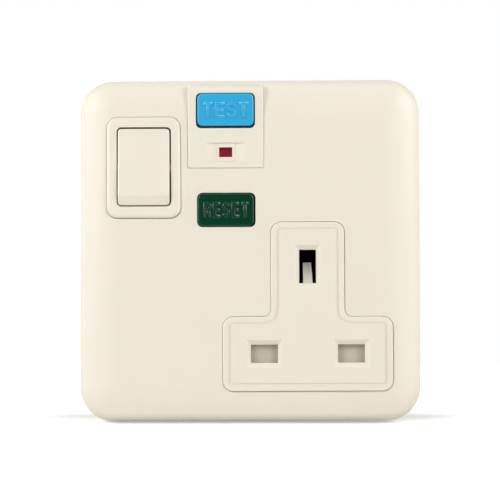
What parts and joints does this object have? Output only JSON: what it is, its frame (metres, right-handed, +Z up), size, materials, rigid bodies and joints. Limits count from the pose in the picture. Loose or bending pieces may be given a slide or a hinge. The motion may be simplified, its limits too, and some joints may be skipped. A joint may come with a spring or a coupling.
{
  "type": "residual current device socket",
  "caption": "Square wall plate with a British pattern socket, rocker switch, test and reset buttons and a trip flag, on a boxed residual current unit.",
  "frame": {"origin": "middle of the plate on the wall plane", "axes": "+X right and +Z up as seen from the front, -Y out of the wall; the boxed works go into the wall along +Y"},
  "size_m": [0.0872, 0.0401, 0.0872],
  "materials": {
    "cover_plastic": "cream urea moulding, satin gloss",
    "chassis_plastic": "cream glass-filled nylon",
    "housing_plastic": "cream moulding, plain",
    "shutter_plastic": "grey-beige nylon",
    "blue_plastic": "sky blue moulding",
    "green_plastic": "dark green moulding",
    "red_plastic": "red moulding",
    "lens": "clear moulded window",
    "brass": "stamped",
    "copper_wire": "enamelled copper winding",
    "zinc_steel": "zinc plated",
    "spring_steel": "drawn wire",
    "yoke_steel": "plated sheet",
    "black_plastic": "moulded",
    "board": "glass epoxy with green resist",
    "grey_ceramic": "ferrite or dipped ceramic",
    "blue_ceramic": "dipped ceramic",
    "brown_wire": "brown insulated wire",
    "blue_wire": "blue insulated wire"
  },
  "bodies": {
    "plate": {"front_cover": "cover_plastic", "chassis": "chassis_plastic", "rear_housing": "housing_plastic", "fixing_screws": "zinc_steel", "housing_screws": "zinc_steel", "socket_face": "cover_plastic", "shutter_spring": "spring_steel", "switch_bezel": "cover_plastic", "switch_bridge": "brass", "switch_contact": "brass", "rcd_panel": "cover_plastic", "indicator_lens": "lens", "flag_pin": "spring_steel", "test_button_spring": "spring_steel", "test_leaf": "brass", "reset_button_spring": "spring_steel", "line_contacts": "brass", "load_contacts": "brass", "trip_springs": "spring_steel", "solenoid_frame": "yoke_steel", "solenoid_bobbin": "black_plastic", "solenoid_coil": "copper_wire", "circuit_board": "board", "control_chip": "black_plastic", "capacitor": "black_plastic", "varistor": "blue_ceramic", "resistors": "grey_ceramic", "rectifier_diodes": "black_plastic", "thyristor": "black_plastic", "toroid_case": "black_plastic", "toroid_winding": "copper_wire", "toroid_core": "grey_ceramic", "live_lead": "brown_wire", "neutral_lead": "blue_wire", "live_link": "brass", "live_bar": "brass", "neutral_bar": "brass", "live_contact": "brass", "neutral_contact": "brass", "earth_contact": "brass", "earth_strap": "brass", "live_terminal": "brass", "neutral_terminal": "brass", "earth_terminal": "brass", "terminal_screws": "zinc_steel"},
    "rocker": {"rocker": "cover_plastic", "rocker_plunger": "black_plastic", "rocker_spring": "spring_steel"},
    "seesaw": {"seesaw_contact": "brass"},
    "shutter": {"shutter": "shutter_plastic"},
    "test_button": {"test_button": "blue_plastic"},
    "reset_button": {"reset_button": "green_plastic"},
    "carriage": {"contact_carriage": "black_plastic", "moving_contacts": "brass"},
    "latch": {"latch_plate": "yoke_steel"},
    "core": {"solenoid_core": "yoke_steel"},
    "flag": {"trip_flag": "red_plastic"}
  },
  "joints": [
    {"name": "rocker_tilt", "type": "hinge", "parent": "plate", "child": "rocker", "pos_m": [-0.02705, -0.0098, 0.02115], "axis": [1, 0, 0], "range_deg": [0, 12]},
    {"name": "seesaw_tilt", "type": "hinge", "parent": "plate", "child": "seesaw", "pos_m": [-0.02705, 0.0036, 0.02115], "axis": [1, 0, 0], "range_deg": [-14, 0]},
    {"name": "shutter_slide", "type": "slide", "parent": "plate", "child": "shutter", "axis": [0, 0, -1], "range_m": [0, 0.0055], "stiffness_N_per_m": 60, "springref_m": -0.004, "deforming": ["shutter_spring"]},
    {"name": "test_press", "type": "slide", "parent": "plate", "child": "test_button", "axis": [0, 1, 0], "range_m": [0, 0.002], "stiffness_N_per_m": 400, "springref_m": -0.002, "deforming": ["test_button_spring"]},
    {"name": "reset_press", "type": "slide", "parent": "plate", "child": "reset_button", "axis": [0, 1, 0], "range_m": [0, 0.002], "stiffness_N_per_m": 400, "springref_m": -0.002, "deforming": ["reset_button_spring"]},
    {"name": "trip_drop", "type": "slide", "parent": "plate", "child": "carriage", "axis": [0, 1, 0], "range_m": [0, 0.0025], "deforming": ["trip_springs"]},
    {"name": "latch_slide", "type": "slide", "parent": "carriage", "child": "latch", "axis": [-1, 0, 0], "range_m": [0, 0.0015]},
    {"name": "core_slide", "type": "slide", "parent": "plate", "child": "core", "axis": [-1, 0, 0], "range_m": [0, 0.0015]},
    {"name": "flag_swing", "type": "hinge", "parent": "plate", "child": "flag", "pos_m": [-0.0061, 0.0006, 0.0249], "axis": [1, 0, 0], "range_deg": [0, 19]}
  ],
  "couplings": [
    {"joint": "seesaw_tilt", "follows": "rocker_tilt", "ratio": -1.1666},
    {"joint": "latch_slide", "follows": "trip_drop", "ratio": 0.6},
    {"joint": "core_slide", "follows": "trip_drop", "ratio": 0.6},
    {"joint": "flag_swing", "follows": "trip_drop", "rad_per_m": 132.6}
  ]
}
